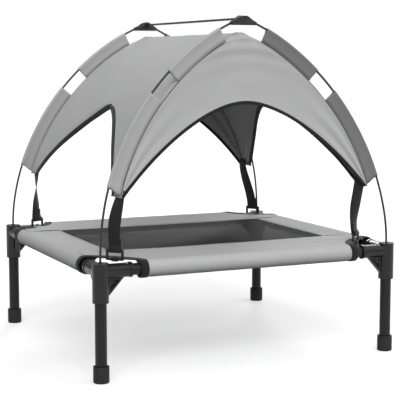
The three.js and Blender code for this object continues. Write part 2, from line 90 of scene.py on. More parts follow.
# legs, rails and corner fittings; arms are measured from the leg axis
TUBE_WALL = 1.2 * MM
FOOT_CHAMFER = 1.5 * MM
FOOT_FLOOR = 4 * MM
FOOT_PLAY = 0.5 * MM
SOCKET_R = 14.5 * MM
BORE_R = 10.95 * MM
LEG_BORE_TOP = 178 * MM
POLE_HOLE_R = 2.9 * MM
POLE_HOLE_DEPTH = 28 * MM
ARM_R = 12.6 * MM
ARM_BORE_START = 17.7 * MM
ARM_END = 57 * MM
BEAD_R = 13.6 * MM
BEAD_WIDTH = 4.5 * MM
GUSSET_REACH = 43.5 * MM
GUSSET_LOW = 153 * MM
GUSSET_THICK = 7 * MM
GUSSET_RIM = 3 * MM
GUSSET_SINK = 1.8 * MM

# mat, buckles and straps
SLEEVE_R = MAT_TOP - RAIL_Z
CUT_R = 72.5 * MM                 # cut at each mat corner, about the leg axis, at the rails
CUT_FLAT = 15 * MM                # how much nearer to the leg the cut runs half way between them
TAPE_WIDTH = 13 * MM
TAPE_WIDER = 7 * MM               # what the corner tape gains half way along the cut
TAPE_DROOP = 1.2 * MM
BUCKLE_WIDTH = 34 * MM
BUCKLE_BAR = 4.5 * MM
BUCKLE_THICK = 3.4 * MM
STRAP_WIDTH = 23.4 * MM
STRAP_THICK = 1.5 * MM
FOLD_GAP = 1.7 * MM               # between a strap and its doubled end
LOOP_WIDTH = 12 * MM
LOOP_THICK = 1.2 * MM
MAT_THICK = 1.0 * MM
MESH_THICK = 0.08 * MM            # so thin that the holes of its two faces line up

# arches, in front view: half a pole from its hub at t = 0 to its corner fitting at t = 1
HALF_ARCH = [(0.022, 0.625), (0.168, 0.560), (LEG_X, 0.397), (LEG_X, SOCKET_TOP)]
ARCH_IN = 0.0365
ARCH_TOP = 0.633
POLE_BEND = 0.060
LEAN = math.atan(ARCH_IN / (ARCH_TOP - SOCKET_TOP - POLE_BEND / 2))
POLE_R = 2 * MM
POLE_TIP_X = 9 * MM
ROD_R = 2.1 * MM
ROD_Z = 0.6325
HUB_LOW = 0.621
HUB_TOP = 0.638
HUB_HALF = 24.5 * MM
HUB_CREST = 3 * MM
HUB_THICK = 15 * MM
HUB_BOSS_R = 4.6 * MM

# canopy cloth
CLOTH_THICK = 0.6 * MM
SLEEVE_THICK = 0.5 * MM
CLOTH_IN = 24 * MM                # from a pole in to the cloth's seam
SEAM_END = 0.762                  # share of the half arch where the sleeves stop
CLOTH_END = 0.785                 # and where the cloth's own feet stop
SLEEVES = {"upper": (0.058, 0.313, 34), "lower": (0.414, SEAM_END, 46)}    # start, end, rows
SLEEVE_LOOP_R = 3.1 * MM
SLEEVE_TAIL = 1.4 * MM            # what a sleeve reaches past the seam
FRONT_ENTRY = [(0, 0.480), (0.070, 0.480), (0.170, 0.410), (0.245, 0.320)]
SIDE_ENTRY = [(0, 0.473), (0.050, 0.473), (0.150, 0.405), (0.228, 0.326)]
ROOF_COLUMNS = 52
PANEL_COLUMNS = 30
NEIGHBOUR = 3                     # grid steps from an entry's edge to the cloth that its tape points to
FOLD_DEPTH = {(-1, -1): 0.9, (1, -1): 1.5, (1, 1): 2.2, (-1, 1): 2.2}    # mm, in each half panel
# dark cords in the canopy seams are painted shade in their grooves; thickest where the most shade is
# painted
SEAM_SHADE_CORD_R = {"fl": 0.7, "fr": 0.3, "bl": 0.35, "br": 0.5}              # mm

CORNERS = {"fl": (-1, -1), "fr": (1, -1), "br": (1, 1), "bl": (-1, 1)}
CORNER_TURN = {"fl": 0, "fr": 90, "br": 180, "bl": 270}

# ---- materials


def wire(tree, kind, inputs=(), **settings):
    """Adds a node to a tree; each of its inputs takes a value or another node's output."""
    made = tree.nodes.new(kind)
    for key, value in settings.items():
        setattr(made, key, value)
    for socket, value in dict(inputs).items():
        if isinstance(value, bpy.types.NodeSocket):
            tree.links.new(value, made.inputs[socket])
        else:
            made.inputs[socket].default_value = value
    return made


class Look:
    """One node material, made of a Principled shader and what feeds it."""

    wave_period = math.pi / 10    # a Wave texture's own period at scale 1

    def __init__(self, name, colour, roughness, **fixed):
        self.material = bpy.data.materials.new(name)
        self.material.use_nodes = True
        self.tree = self.material.node_tree
        self.shader = self.tree.nodes["Principled BSDF"]
        self.colour = (*colour, 1)
        self.shader.inputs["Base Color"].default_value = self.colour
        self.shader.inputs["Roughness"].default_value = roughness
        for socket, value in fixed.items():
            self.shader.inputs[socket.replace("_", " ")].default_value = value

    def node(self, kind, inputs=(), **settings):
        return wire(self.tree, kind, inputs, **settings)

    def feed(self, socket, value):
        self.tree.links.new(value, self.shader.inputs[socket])

    def coordinates(self, kind):
        return self.node("ShaderNodeTexCoord").outputs[kind]

    def maths(self, operation, a, b=0.0):
        return self.node("ShaderNodeMath", {0: a, 1: b}, operation=operation).outputs[0]

    def noise(self, where, scale, detail=3.0):
        inputs = {"Vector": where, "Scale": scale, "Detail": detail}
        return self.node("ShaderNodeTexNoise", inputs).outputs["Fac"]

    def waves(self, where, pitch, direction):
        """Ridges that follow each other along a direction, a pitch apart."""
        inputs = {"Vector": where, "Scale": self.wave_period / pitch}
        return self.node("ShaderNodeTexWave", inputs, bands_direction=direction).outputs["Fac"]

    def spread(self, value, low, high, start=0.0, end=1.0):
        """Maps start..end to low..high."""
        inputs = {"Value": value, "From Min": start, "From Max": end, "To Min": low, "To Max": high}
        return self.node("ShaderNodeMapRange", inputs).outputs["Result"]

    def tint(self, factor):
        """Multiplies the base colour by a varying factor."""
        grey = self.node("ShaderNodeCombineColor", {0: factor, 1: factor, 2: factor}).outputs[0]
        inputs = {"Factor": 1, "A": self.colour, "B": grey}
        mixed = self.node("ShaderNodeMix", inputs, data_type="RGBA", blend_type="MULTIPLY")
        self.feed("Base Color", mixed.outputs["Result"])

    def bump(self, height, distance):
        made = self.node("ShaderNodeBump", {"Height": height, "Distance": distance})
        self.feed("Normal", made.outputs["Normal"])


def threads(look, where, pitch):
    """Height of a plain weave: rows and columns of thread that take turns on top."""
    across, down = (look.waves(where, pitch, axis) for axis in "XY")
    squares = {"Vector": where, "Scale": 1 / pitch, 1: (0, 0, 0, 1), 2: (1, 1, 1, 1)}
    over = look.node("ShaderNodeTexChecker", squares).outputs["Fac"]
    return look.node("ShaderNodeMix", {"Factor": over, "A": across, "B": down}).outputs["Result"]


def cloth_look(name, colour, pitch, relief, variation):
    """Woven cloth: plain weave, uneven threads and faint patches."""
    look = Look(name, colour, 0.85, Specular_IOR_Level=0.25, Sheen_Weight=0.12, Sheen_Roughness=0.5)
    where = look.coordinates("UV")
    weave = threads(look, where, pitch)
    drawn_out = look.node("ShaderNodeMapping", {"Vector": where, "Scale": (120, 900, 1)}).outputs[0]
    slubs = look.noise(drawn_out, 1.0)
    patches = look.noise(look.coordinates("Object"), 14.0)
    shade = look.spread(patches, 1 - variation / 2, 1 + variation / 2)
    for part in (weave, slubs):
        shade = look.maths("ADD", shade, look.spread(part, -variation, variation))
    look.tint(shade)
    look.bump(look.maths("ADD", weave, look.maths("MULTIPLY", slubs, 0.6)), relief)
    return look


def grained_look(name, colour, roughness, grain, relief, wear, specular):
    """Moulded plastic, rubber or paint: a fine grain, uneven gloss and paler rubbed edges."""
    look = Look(name, colour, roughness, Specular_IOR_Level=specular)
    where = look.coordinates("Object")
    fine = look.noise(where, grain, 2.0)
    cloud = look.noise(where, 35.0)
    shade = look.maths("ADD", look.spread(cloud, 0.88, 1.1), look.spread(fine, -0.05, 0.05))
    if wear:
        edge = look.node("ShaderNodeNewGeometry").outputs["Pointiness"]
        rubbed = look.spread(edge, 0.0, wear, 0.52, 0.62)
        patchy = look.spread(look.noise(where, 180.0), 0.2, 1.3)
        shade = look.maths("ADD", shade, look.maths("MULTIPLY", rubbed, patchy))
    look.tint(shade)
    look.feed("Roughness", look.spread(cloud, roughness - 0.06, roughness + 0.08))
    look.bump(fine, relief)
    return look


def webbing_look():
    """Black polyester webbing: ribs across the width and small steep twill."""
    sheen = {"Specular_IOR_Level": 0.3, "Sheen_Weight": 0.25, "Sheen_Roughness": 0.4}
    look = Look("webbing", (0.008, 0.008, 0.0085), 0.75, **sheen)
    where = look.coordinates("UV")
    ribs = look.waves(where, 1.5 * MM, "Y")
    twill = look.waves(where, 1.1 * MM, "DIAGONAL")
    height = look.maths("ADD", ribs, look.maths("MULTIPLY", twill, 0.5))
    fuzz = look.noise(where, 900.0)
    look.tint(look.maths("ADD", look.spread(height, 0.75, 1.35), look.spread(fuzz, -0.15, 0.15)))
    look.bump(height, 0.25 * MM)
    return look


def mesh_look():
    """Black open mesh: a grid of coated yarns with small see-through holes."""
    look = Look("mat_mesh", (0.016, 0.016, 0.0165), 0.75, Specular_IOR_Level=0.2)
    where = look.coordinates("UV")
    yarns = [look.waves(where, 1.6 * MM, axis) for axis in "XY"]
    hole = look.maths("MULTIPLY", *(look.maths("LESS_THAN", yarn, 0.36) for yarn in yarns))
    height = look.maths("MAXIMUM", *yarns)
    look.tint(look.spread(height, 0.7, 1.2))
    look.bump(height, 0.4 * MM)
    look.feed("Alpha", look.maths("SUBTRACT", 1.0, hole))
    return look


def floor_look():
    """Pale studio floor that gives off a little light, so that it looks white."""
    glow = {"Emission_Color": (1, 1, 1, 1), "Emission_Strength": 0.42}
    look = Look("studio_floor", (0.7, 0.7, 0.7), 0.9, Specular_IOR_Level=0.0, **glow)
    look.tint(look.spread(look.noise(look.coordinates("Object"), 3.0), 0.98, 1.02))
    return look


# material, colour, roughness, grain scale, relief in mm, wear of the edges, specular level
MOULDED = {
    "tube": ("painted_tube", (0.010, 0.0102, 0.0108), 0.36, 1400, 0.04, 0, 0.26),
    "fitting": ("corner_plastic", (0.0065, 0.0065, 0.007), 0.28, 2200, 0.04, 0.8, 0.34),
    "foot": ("foot_plastic", (0.0135, 0.0135, 0.0145), 0.6, 1500, 0.12, 0.5, 0.3),
    "small": ("small_plastic", (0.007, 0.007, 0.008), 0.46, 2500, 0.03, 0.9, 0.5),
    "pole": ("pole_rod", (0.007, 0.007, 0.0075), 0.35, 1800, 0.03, 0, 0.5),
}
# material, colour, thread pitch in mm, relief in mm, variation of shade
CLOTHS = {
    "mat": ("mat_cloth", (0.45, 0.45, 0.452), 0.9, 0.10, 0.045),
    "canopy": ("canopy_cloth", (0.44, 0.44, 0.442), 0.55, 0.05, 0.03),
    # the sleeves are the canopy cloth painted darker as painted shade: a little on the left, much more on
    # the right
    "sleeve_light_painted_shade": ("sleeve_cloth_light_painted_shade", (0.415, 0.415, 0.417), 0.55, 0.05, 0.03),
    "sleeve_deep_painted_shade": ("sleeve_cloth_deep_painted_shade", (0.188, 0.188, 0.189), 0.55, 0.05, 0.03),
    "tape": ("edge_tape", (0.011, 0.011, 0.0115), 0.7, 0.12, 0.2),
    "thread": ("thread", (0.30, 0.30, 0.302), 0.4, 0.05, 0.1),
    # dark thread for the mat's seams, also used for the cords of painted shade in the canopy's seams
    "dark_thread_and_seam_shade": ("dark_thread_and_seam_shade", (0.03, 0.03, 0.03), 0.4, 0.05, 0.1),
}


def make_looks():
    made = {"webbing": webbing_look(), "mesh": mesh_look(), "floor": floor_look()}
    for key, (name, colour, roughness, grain, relief, wear, specular) in MOULDED.items():
        made[key] = grained_look(name, colour, roughness, grain, relief * MM, wear, specular)
    for key, (name, colour, pitch, relief, variation) in CLOTHS.items():
        made[key] = cloth_look(name, colour, pitch * MM, relief * MM, variation)
    return made


looks = make_looks()

# ---- mesh helpers


def new_object(name, data):
    made = bpy.data.objects.new(name, data)
    bpy.context.scene.collection.objects.link(made)
    return made


def new_mesh(name, points, faces):
    mesh = bpy.data.meshes.new(name)
    mesh.from_pydata([tuple(map(float, p)) for p in points], [], faces)
    return mesh


def add(name, points, faces, look, uv=None):
    """A mesh object from points and faces; uv holds a pair in metres for each point."""
    mesh = new_mesh(name, points, faces)
    layer = mesh.uv_layers.new(name="cloth")
    if uv is not None:
        corner = [loop.vertex_index for loop in mesh.loops]
        layer.data.foreach_set("uv", np.asarray(uv, np.float32)[corner].ravel())
    mesh.shade_smooth()
    mesh.materials.append(looks[look].material)
    return new_object(name, mesh)


def add_grid(name, grid, look):
    """A mesh object from a grid of points held row by row."""
    return add(name, grid.reshape(-1, 3), grid_faces(*grid.shape[:2]), look, grid_uv(grid))


def grid_faces(rows, columns, closed=False):
    """Quads of a grid of points; closed joins the last column to the first."""
    faces = []
    for i in range(rows - 1):
        for j in range(columns if closed else columns - 1):
            k = (j + 1) % columns
            faces.append((i * columns + j, i * columns + k, (i + 1) * columns + k, (i + 1) * columns + j))
    return faces


def run_lengths(points):
    steps = np.linalg.norm(np.diff(points, axis=0), axis=1)
    return np.concatenate([[0], np.cumsum(steps)])


def grid_uv(grid):
    """Distances along the middle row and column of a grid of points, for a weave."""
    rows, columns = grid.shape[:2]
    across = run_lengths(grid[rows // 2])
    down = run_lengths(grid[:, columns // 2])
    return np.stack(np.meshgrid(across, down), axis=-1).reshape(-1, 2)


def unit(vectors):
    return vectors / np.maximum(np.linalg.norm(vectors, axis=-1, keepdims=True), 1e-12)


def square_to(vectors, along):
    """Unit vectors with what they have in common with another direction taken off."""
    return unit(vectors - (vectors * along).sum(-1, keepdims=True) * along)


def tangents(path):
    return unit(np.gradient(path, axis=0))


def sweep(path, first, second, outline):
    """Points, faces and uv of an outline carried along a path, with first and second as its axes."""
    outline = np.asarray(outline, float)
    if outline.ndim == 2:
        outline = np.repeat(outline[None], len(path), axis=0)
    points = path[:, None] + outline[..., :1] * first[:, None] + outline[..., 1:] * second[:, None]
    rows, columns = points.shape[:2]
    faces = grid_faces(rows, columns, closed=True)
    faces.append(tuple(reversed(range(columns))))
    faces.append(tuple(range((rows - 1) * columns, rows * columns)))
    rounds = run_lengths(np.vstack([outline[0], outline[0][:1]]))[:-1]
    uv = np.stack(np.meshgrid(rounds, run_lengths(path)), axis=-1).reshape(-1, 2)
    return points.reshape(-1, 3), faces, uv


def circle(radius, sides):
    angle = np.arange(sides) * 2 * math.pi / sides
    return np.stack([np.cos(angle), np.sin(angle)], axis=-1) * radius


def rod(name, path, radius, look, sides=14):
    path = np.asarray(path, float)
    along = tangents(path)
    first = unit(np.cross(along, (0, 1, 0) if abs(along[0][1]) < 0.9 else (1, 0, 0)))
    second = np.cross(along, first)
    points, faces, uv = sweep(path, first, second, circle(radius, sides))
    return add(name, points, faces, look, uv)


def rounded_flat(width, thickness):
    """Outline of webbing: flat, with rounded selvedges."""
    w, t = width / 2, thickness / 2
    under = [(-w, -t * 0.4), (-w + t, -t), (w - t, -t), (w, -t * 0.4)]
    return under + [(x, -y) for x, y in reversed(under)]


def turned(profile, sides=48):
    """A body of revolution about Z; the profile is a closed loop of (radius, height)."""
    profile = np.asarray(profile, float)
    points = []
    for x, y in circle(1, sides):
        points.append(np.stack([profile[:, 0] * x, profile[:, 0] * y, profile[:, 1]], axis=-1))
    count = sides * len(profile)
    faces = grid_faces(sides + 1, len(profile), closed=True)
    return np.vstack(points), [tuple(index % count for index in face) for face in faces]


def rounded(profile, radius, steps=3):
    """A closed outline with each corner turned into a short arc."""
    made = []
    count = len(profile)
    for i in range(count):
        before, here, after = (Vector(profile[(i + k) % count]) for k in (-1, 0, 1))
        reach = min(radius, (before - here).length / 2.01, (after - here).length / 2.01)
        start = here + (before - here).normalized() * reach
        end = here + (after - here).normalized() * reach
        for k in range(steps + 1):
            s = k / steps
            made.append(tuple((1 - s) ** 2 * start + 2 * s * (1 - s) * here + s * s * end))
    return made


def oblong(half, low, high, radius, steps):
    """Outline of a rounded rectangle that is centred about X = 0."""
    return rounded([(-half, low), (half, low), (half, high), (-half, high)], radius, steps)


def prism(outline, thickness, place=Matrix.Identity(4)):
    """A flat outline in X and Z, thickened evenly about Y = 0, as points and faces."""
    count = len(outline)
    points = [place @ Vector((x, side * thickness / 2, z)) for side in (-1, 1) for x, z in outline]
    faces = [tuple(range(count)), tuple(reversed(range(count, 2 * count)))]
    faces += [(i, i + count, (i + 1) % count + count, (i + 1) % count) for i in range(count)]
    return points, faces


def rod_solid(start, end, radius, sides=48):
    """A round bar as points and faces."""
    path = np.array([start, end], float)
    along = unit(path[1] - path[0])
    first = unit(np.cross(along, (0, 0, 1) if abs(along[2]) < 0.9 else (1, 0, 0)))
    second = np.cross(along, first)
    return sweep(path, np.array([first] * 2), np.array([second] * 2), circle(radius, sides))[:2]


def mend(mesh, weld=0.0, sliver=0.0):
    """Joins points that lie within weld, drops slivers and turns all faces outwards."""
    work = bmesh.new()
    work.from_mesh(mesh)
    if weld:
        bmesh.ops.remove_doubles(work, verts=work.verts, dist=weld)
    if sliver:
        bmesh.ops.dissolve_degenerate(work, edges=work.edges, dist=sliver)
    bmesh.ops.recalc_face_normals(work, faces=work.faces)
    work.to_mesh(mesh)
    work.free()


def settle(made):
    """Applies every modifier of an object to its mesh."""
    bpy.context.view_layer.update()
    graph = bpy.context.evaluated_depsgraph_get()
    mesh = bpy.data.meshes.new_from_object(made.evaluated_get(graph))
    made.modifiers.clear()
    made.data = mesh
    return made


def combine(target, shapes, operation):
    """Unites shapes with a mesh object or cuts them out of it."""
    for points, faces in shapes:
        tool = new_object("tool", new_mesh("tool", points, faces))
        mend(tool.data)
        made = target.modifiers.new("combine", "BOOLEAN")
        made.operation = operation
        made.solver = "EXACT"
        made.object = tool
        settle(target)
        bpy.data.objects.remove(tool)


def forge(name, solids, holes, look, edge):
    """One moulded piece: solids united, holes cut, edges rounded."""
    made = add(name, *solids[0], look)
    mend(made.data)
    combine(made, solids[1:], "UNION")
    combine(made, holes, "DIFFERENCE")
    bevel = made.modifiers.new("edges", "BEVEL")
    bevel.width = edge
    bevel.segments = 2
    bevel.limit_method = "ANGLE"
    bevel.angle_limit = math.radians(38)
    bevel.use_clamp_overlap = True
    settle(made)
    made.data.shade_smooth()
    made.data.set_sharp_from_angle(angle=math.radians(40))
    return made


def turned_by(degrees):
    return Matrix.Rotation(math.radians(degrees), 4, "Z")


def copy_of(made, name, place):
    mesh = made.data.copy()
    mesh.transform(place)
    return new_object(name, mesh)


def thicken(made, thickness, side=-1.0):
    skin = made.modifiers.new("thickness", "SOLIDIFY")
    skin.thickness = thickness
    skin.offset = side
    return settle(made)


def mount(made, body, slot, *nodes):
    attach(made, body)
    if nodes:
        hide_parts(*nodes)
    return made


# ---- legs, rails and corner fittings


def foot_cap(tag, x, y):
    """A cup for the leg's end, with a chamfer under its rim."""
    bore = TUBE_R + FOOT_PLAY
    chamfer = [(FOOT_R - FOOT_CHAMFER, 0), (FOOT_R, FOOT_CHAMFER)]
    wall = rounded([*chamfer, (FOOT_R, FOOT_TOP), (bore, FOOT_TOP), (bore, FOOT_FLOOR)], 0.9 * MM)
    points, faces = turned([(0, 0), *wall, (0, FOOT_FLOOR)])
    made = add(f"foot_{tag}", points + np.array([x, y, 0]), faces, "foot")
    mend(made.data, weld=1e-6)
    made.data.set_sharp_from_angle(angle=math.radians(50))
    mount(made, "root", "foot_plastic", f"foot_cap_{tag}")


def hollow(low, high):
    """Profile of a tube between two heights."""
    inner = TUBE_R - TUBE_WALL
    return rounded([(inner, low), (TUBE_R, low), (TUBE_R, high), (inner, high)], 0.3 * MM, 2)


def leg(tag, x, y):
    low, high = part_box(f"leg_tube_{tag}")
    points, faces = turned(hollow(low.z, high.z))
    made = add(f"leg_{tag}", points + np.array([x, y, 0]), faces, "tube")
    mount(made, "root", "painted_tube", f"leg_tube_{tag}")


def rail(side):
    low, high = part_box(f"rail_{side}")
    axis = 0 if side in ("front", "back") else 1
    points, faces = turned(hollow(low[axis], high[axis]))
    spun = np.empty_like(points)
    spun[:, axis] = points[:, 2]
    spun[:, 1 - axis] = points[:, 0] + middle(f"rail_{side}")[1 - axis]
    spun[:, 2] = points[:, 1] + RAIL_Z
    made = add(f"rail_tube_{side}", spun, faces, "tube")
    mend(made.data)
    mount(made, "root", "painted_tube", f"rail_{side}")


def gusset_outlines():
    """The web under an arm and the field sunk into each face of it."""
    roof = RAIL_Z - ARM_R
    root = SOCKET_R - 2 * MM
    web = [(root, roof + 2 * MM), (root, GUSSET_LOW), (SOCKET_R, GUSSET_LOW), (GUSSET_REACH, roof + 2 * MM)]
    sunk = [
        (SOCKET_R + GUSSET_RIM, roof - GUSSET_RIM),
        (SOCKET_R + GUSSET_RIM, GUSSET_LOW + 3 * GUSSET_RIM),
        (GUSSET_REACH - 3 * GUSSET_RIM, roof - GUSSET_RIM),
    ]
    return web, sunk


def corner_fittings():
    """One corner, arms along +X and +Y about the leg axis, then a copy turned for each corner."""
    hole_low = SOCKET_TOP - POLE_HOLE_DEPTH
    solids = [rod_solid((0, 0, SOCKET_LOW), (0, 0, SOCKET_TOP), SOCKET_R)]
    holes = [
        rod_solid((0, 0, SOCKET_LOW - MM), (0, 0, LEG_BORE_TOP), BORE_R),
        rod_solid((0, 0, hole_low), (0, 0, SOCKET_TOP + MM), POLE_HOLE_R, 24),
    ]
    web, sunk = gusset_outlines()
    axis = np.array([0, 0, RAIL_Z])
    for turn in (0, 90):
        spin = turned_by(turn)
        out = np.array(spin @ Vector((1, 0, 0)))
        solids += [
            rod_solid(axis, axis + out * ARM_END, ARM_R),
            rod_solid(axis + out * (ARM_END - BEAD_WIDTH), axis + out * ARM_END, BEAD_R),
            prism(web, GUSSET_THICK, spin),
        ]
        holes.append(rod_solid(axis + out * ARM_BORE_START, axis + out * (ARM_END + MM), BORE_R))
        for side in (-1, 1):
            shift = Matrix.Translation((0, side * GUSSET_THICK / 2, 0))
            holes.append(prism(sunk, 2 * GUSSET_SINK, spin @ shift))
    pattern = forge("fitting_pattern", solids, holes, "fitting", 0.7 * MM)
    for tag, (sx, sy) in CORNERS.items():
        place = Matrix.Translation((sx * LEG_X, sy * LEG_Y, 0)) @ turned_by(CORNER_TURN[tag])
        mount(copy_of(pattern, f"fitting_{tag}", place), "root", "corner_plastic", f"corner_fitting_{tag}")
    bpy.data.objects.remove(pattern)


# ---- arch geometry


def bezier(points, t):
    t = np.asarray(t, float)[..., None]
    a, b, c, d = (np.array(p, float) for p in points)
    return (1 - t) ** 3 * a + 3 * (1 - t) ** 2 * t * b + 3 * (1 - t) * t * t * c + t**3 * d


def bezier_heading(points, t):
    t = np.asarray(t, float)[..., None]
    a, b, c, d = (np.array(p, float) for p in points)
    return unit((1 - t) ** 2 * (b - a) + 2 * (1 - t) * t * (c - b) + t * t * (d - c))


def inside_arch(t, distance):
    """Points of the half arch in front view, moved towards the inside of its bend."""
    heading = bezier_heading(HALF_ARCH, t)
    return bezier(HALF_ARCH, t) + distance * np.stack([heading[..., 1], -heading[..., 0]], axis=-1)


def arch_y(z):
    """Distance of an arch from the middle of the bed at a height."""
    rise = np.maximum(np.asarray(z, float) - SOCKET_TOP, 0)
    bend = rise * rise / (2 * POLE_BEND)
    return LEG_Y - math.tan(LEAN) * np.where(rise < POLE_BEND, bend, rise - POLE_BEND / 2)


def on_arch(flat, sx, sy):
    """Carries points of the front view, (x, z), to the arch plane of one corner."""
    flat = np.asarray(flat)
    return np.stack([sx * flat[..., 0], sy * arch_y(flat[..., 1]), flat[..., 1]], axis=-1)


def arch_out(sy):
    """Outward normal of an arch's leaning plane."""
    return np.array([0, sy * math.cos(LEAN), math.sin(LEAN)])


def smooth(x):
    x = np.clip(x, 0, 1)
    return x * x * (3 - 2 * x)


# ---- poles, hubs and rod


def pole(tag, sx, sy):
    start = bezier(HALF_ARCH, 0.0)
    heading = bezier_heading(HALF_ARCH, 0.0)
    tip = start - heading * (start[0] - POLE_TIP_X) / heading[0]
    socket_end = (LEG_X, SOCKET_TOP - POLE_HOLE_DEPTH + 0.3 * MM)
    flat = np.vstack([[tip], bezier(HALF_ARCH, np.linspace(0, 1, 60)), [socket_end]])
    made = rod(f"bent_pole_{tag}", on_arch(flat, sx, sy), POLE_R, "pole")
    mount(made, "canopy", "pole_rod", f"pole_{tag}")


def hub_body(sy):
    """The peaked block of a hub, standing in the leaning plane of its arch."""
    flank = [(HUB_HALF, HUB_LOW), (HUB_HALF - 2 * MM, HUB_LOW + 5 * MM)]
    right = [*flank, (7 * MM, HUB_TOP - MM), (HUB_CREST, HUB_TOP)]
    outline = right + [(-x, z) for x, z in reversed(right)]
    centre_z = (HUB_LOW + HUB_TOP) / 2
    lean = Matrix.Rotation(-sy * LEAN, 4, "X")
    stand = Matrix.Translation((0, sy * float(arch_y(centre_z)), centre_z))
    return prism(outline, HUB_THICK, stand @ lean @ Matrix.Translation((0, 0, -centre_z)))


def hub(side, sy):
    """A peaked moulded cap that takes both pole ends, with a boss for the ridge rod."""
    inward = np.array([0, -sy, 0])
    at_rod = on_arch((0, ROD_Z), 1, sy)
    solids = [hub_body(sy), rod_solid(at_rod, at_rod + inward * (HUB_THICK / 2 + 5 * MM), HUB_BOSS_R, 32)]
    start = bezier(HALF_ARCH, 0.0)
    heading = bezier_heading(HALF_ARCH, 0.0)
    holes = []
    for sx in (-1, 1):
        mouth = on_arch([start + heading * d for d in (-8 * MM, 4 * MM)], sx, sy)
        bore = on_arch([start + heading * d for d in (-14 * MM, 12 * MM)], sx, sy)
        solids.append(rod_solid(*mouth, 3.3 * MM, 32))
        holes.append(rod_solid(*bore, POLE_R + 0.3 * MM, 24))
    holes.append(rod_solid(at_rod + inward * 4.5 * MM, at_rod + inward * 20 * MM, ROD_R + 0.3 * MM, 24))
    made = forge(f"hub_cap_{side}", solids, holes, "small", 1.1 * MM)
    mount(made, "canopy", "buckle_plastic", f"hub_{side}")


def ridge_rod():
    low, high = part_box("ridge_rod")
    path = [(0, y, ROD_Z) for y in np.linspace(low.y, high.y, 12)]
    mount(rod("ridge_bar", path, ROD_R, "pole"), "canopy", "pole_rod", "ridge_rod")


# ---- canopy cloth


def crown_arc(edge):
    """The rounded crown of the seam, from the middle to the seam's first point beside it."""
    heading = bezier_heading(HALF_ARCH, 0.0)
    x, z = edge
    peak = z - x * heading[1] / heading[0]
    s = np.linspace(0, 1, 12)[:-1, None]
    top = np.array([0, (z + peak) / 2])
    return top * (1 - s) ** 2 + 2 * s * (1 - s) * np.array([x / 2, peak]) + s * s * edge


def seam_rows():
    """The seam in front view from the crown to its right foot, with rows matched to the side entry.

    Returns the rows' (x, z), the side entry's distance from the middle at each row, and the
    number of rows that lie above the side entry.
    """
    over = inside_arch(np.linspace(0, CLOTH_END, 400), CLOTH_IN)
    line = np.vstack([crown_arc(over[0]), over])
    length = run_lengths(line)
    entry = bezier(SIDE_ENTRY, np.linspace(0, 1, 37))
    entry = entry[entry[:, 1] >= line[-1, 1]]
    falls = np.interp(-entry[:, 1], -line[:, 1], length)
    above = np.linspace(0, falls[0], 52)
    rows = np.concatenate([above, falls[1:], [length[-1]]])
    inner = np.concatenate([np.zeros(len(above)), entry[1:, 0], [SIDE_ENTRY[3][0]]])
    return at_runs(rows, length, line), inner, len(above)


def at_runs(wanted, run, values):
    """Values, held at distances along a line, read at other distances."""
    return np.stack([np.interp(wanted, run, values[:, k]) for k in range(values.shape[1])], axis=-1)


def entry_points():
    """Points of the front entry, one for each seam row, from its apex to its foot."""
    fine = bezier(FRONT_ENTRY, np.linspace(0, 1, 300))
    length = run_lengths(fine)
    return at_runs(DOWN[:, 0] * length[-1], length, fine)


SEAM, ENTRY_IN, ABOVE = seam_rows()
SEAM_LENGTH = run_lengths(SEAM)
DOWN = (SEAM_LENGTH / SEAM_LENGTH[-1])[:, None]    # 0 at the crown, 1 at the foot, row by row
ENTRY = entry_points()


def seam_normal(side):
    """Outward normals of the roof along the seam, in front view."""
    heading = tangents(SEAM)
    heading[0] = (1, 0)
    return np.stack([-side * heading[:, 1], heading[:, 0]], axis=-1)


def noise_at(points, stretch, scale, seed):
    """Smooth noise at each point; stretch holds how fast it changes along X, Y and Z."""
    offset = Vector((seed * 7.3, seed * 3.1, seed * 1.7))
    spots = (points * np.array(stretch)).reshape(-1, 3)
    return np.array([noise.noise(Vector(p) * scale + offset) for p in spots]).reshape(points.shape[:-1])


def folds_to_foot(grid, foot, phase):
    """Tension folds that spread from a canopy foot and die out with distance from it."""
    away = grid - np.asarray(foot)
    distance = np.linalg.norm(away, axis=-1)
    angle = np.arctan2(np.hypot(away[..., 0], away[..., 1]), away[..., 2])
    near = smooth(distance / (18 * MM)) * np.exp(-distance / (85 * MM))
    return 2.6 * MM * near * smooth((0.21 - distance) / 0.06) * np.sin(18 * angle + phase)


def side_curl(depth, sx, sy):
    """How far the left entry's edge rolls inwards, most of all in its back half."""
    if sx > 0:
        return 0.0
    y = sy * depth
    rolled = smooth((y + 0.035) / 0.10) * (1 - 0.75 * smooth((y - 0.09) / 0.12))
    over = np.minimum(SEAM_LENGTH - SEAM_LENGTH[ABOVE - 1], 0)[:, None]
    to_edge = np.hypot(0.78 * (depth - ENTRY_IN[:, None]), over)
    return 7 * MM * rolled * np.clip(1 - to_edge / (20 * MM), 0, 1) ** 2


def roof_quarter(sx, sy):
    """A quarter of the roof: rows run from crown to foot, columns from the arch to the middle."""
    edge = arch_y(SEAM[:, 1])[:, None]
    inner = ENTRY_IN[:, None]
    depth = edge + (inner - edge) * np.linspace(0, 1, ROOF_COLUMNS + 1)
    flat = np.stack(np.broadcast_arrays(sx * SEAM[:, :1], sy * depth, SEAM[:, 1:]), axis=-1)
    normal = np.zeros_like(flat)
    normal[..., [0, 2]] = seam_normal(sx)[:, None]
    span = 1 - (depth / edge) ** 2
    sag = (0.3 + 5 * np.sin(math.pi * DOWN)) * MM * span
    rumple = 1.3 * MM * noise_at(flat, (1, 0.55, 1), 16, 1) * smooth(span * 3)
    fine = 0.5 * MM * noise_at(flat, (1, 0.3, 1), 45, 4) * smooth(span * 4)
    pull = folds_to_foot(flat, flat[-1, 0], sx + 2 * sy) * smooth(span * 5)
    beside_entry = (np.arange(len(SEAM)) >= ABOVE)[:, None]
    calm = np.where(beside_entry, smooth(np.abs(depth - inner) / (14 * MM)), 1.0)
    lift = (rumple + fine + pull) * calm - sag - side_curl(depth, sx, sy)
    return flat + normal * lift[..., None], flat


